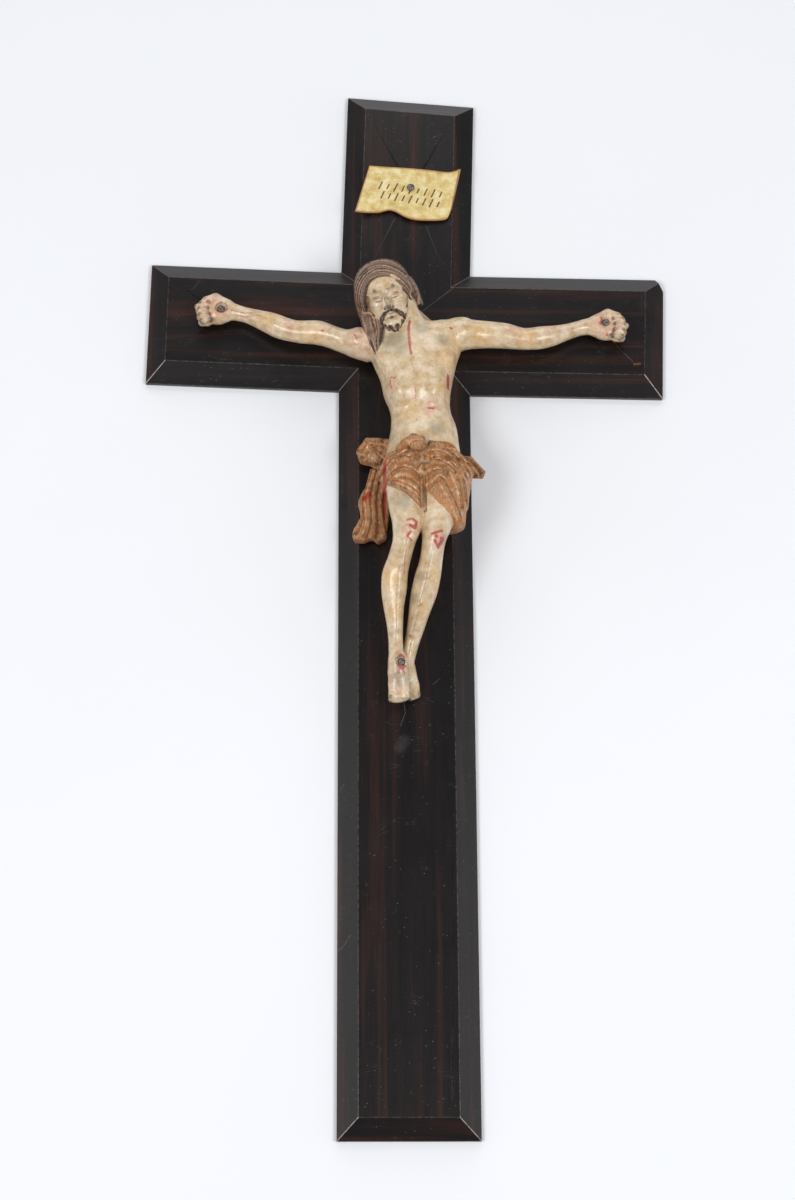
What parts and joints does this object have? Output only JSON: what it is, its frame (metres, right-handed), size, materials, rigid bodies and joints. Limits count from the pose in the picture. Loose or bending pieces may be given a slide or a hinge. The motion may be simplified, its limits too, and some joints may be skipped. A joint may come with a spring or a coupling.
{
  "type": "wooden crucifix",
  "caption": "Dark bevelled wooden cross lying on its back, with a painted carved figure in a gilded loincloth, a small curved title plate and iron nails.",
  "frame": {"origin": "middle of the underside of the cross, which lies on its flat back", "axes": "+X to the viewer's right along the arms, +Y along the post towards the short top end, +Z out of the cross's face"},
  "size_m": [0.2788, 0.571, 0.0531],
  "materials": {
    "ebonised_wood": "near-black ebonised veneer, satin, with reddish-brown streaks and scratches",
    "painted_wood": "old flesh paint under varnish, brown hair and worn gilding on the cloth",
    "painted_plate": "matt yellow-ochre paint with worn orange-brown edges and dark strokes",
    "iron": "dull grey, hammered"
  },
  "bodies": {
    "root": {"cross": "ebonised_wood", "figure": "painted_wood", "title_plate": "painted_plate", "title_nail": "iron", "left_hand_nail": "iron", "right_hand_nail": "iron", "foot_nail": "iron"}
  },
  "joints": []
}
